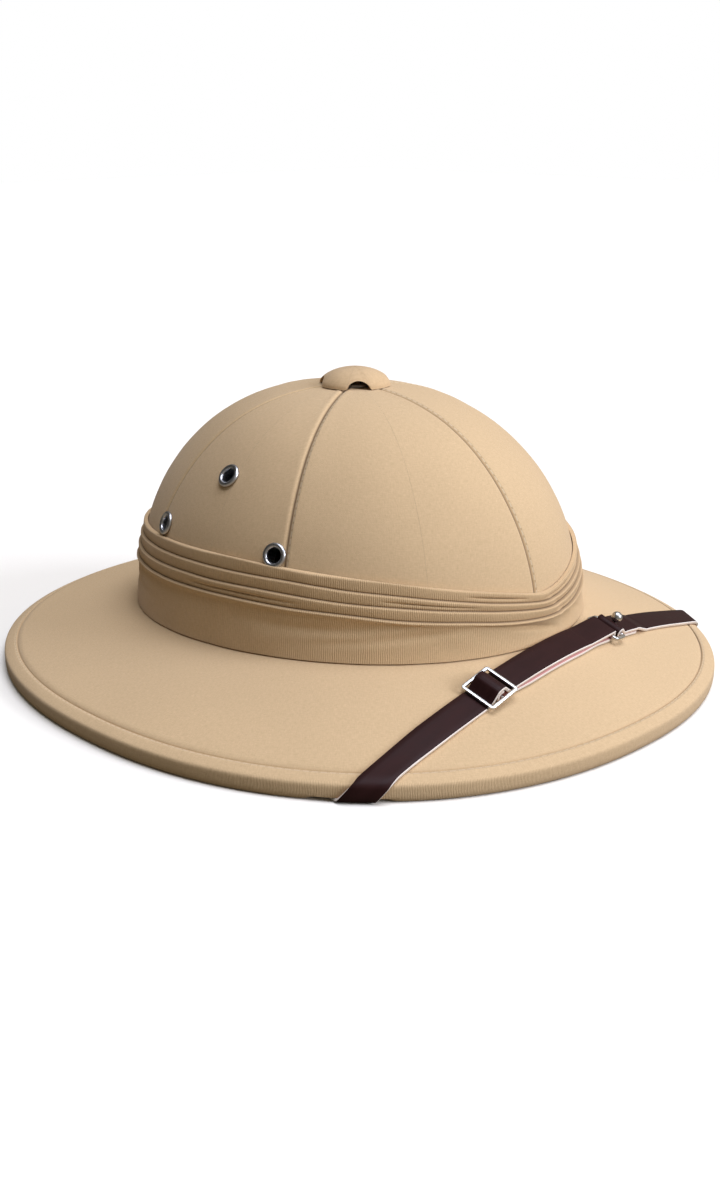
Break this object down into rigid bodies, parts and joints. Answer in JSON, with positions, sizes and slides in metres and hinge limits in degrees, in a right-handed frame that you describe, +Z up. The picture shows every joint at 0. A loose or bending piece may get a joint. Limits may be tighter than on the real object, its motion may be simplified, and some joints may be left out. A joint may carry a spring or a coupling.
{
  "type": "pith helmet",
  "caption": "Khaki cloth pith sun helmet with a pleated band, vent cap, eyelets and a leather chin strap worn over the front of the brim.",
  "frame": {"origin": "centre of the bounding box on the ground plane that the rim rests on", "axes": "+Z up, the wearer looks along -Y, the wearer's right hand is on -X"},
  "size_m": [0.33, 0.35, 0.1417],
  "materials": {
    "crown_cloth": "plain khaki cotton drill",
    "brim_cloth": "plain khaki cotton drill",
    "cap_cloth": "plain khaki cotton drill",
    "band_cloth": "ribbed khaki cotton, pleated",
    "strap_leather": "smooth dark brown with a pale cut edge",
    "strap_metal": "satin silver",
    "eyelet_metal": "satin silver",
    "vent_metal": "dull grey metal"
  },
  "bodies": {
    "root": {"crown": "crown_cloth", "brim": "brim_cloth", "pugree_band": "band_cloth", "vent_collar": "vent_metal", "vent_cap": "cap_cloth", "chin_strap_long": "strap_leather", "chin_strap_short": "strap_leather", "slide_buckle": "strap_metal", "strap_loop": "strap_metal", "ball_stud": "strap_metal", "strap_rivet_right": "strap_metal", "strap_rivet_left": "strap_metal", "eyelet_right_upper": "eyelet_metal", "eyelet_right_front": "eyelet_metal", "eyelet_right_rear": "eyelet_metal", "eyelet_left_upper": "eyelet_metal", "eyelet_left_front": "eyelet_metal", "eyelet_left_rear": "eyelet_metal"}
  },
  "joints": []
}
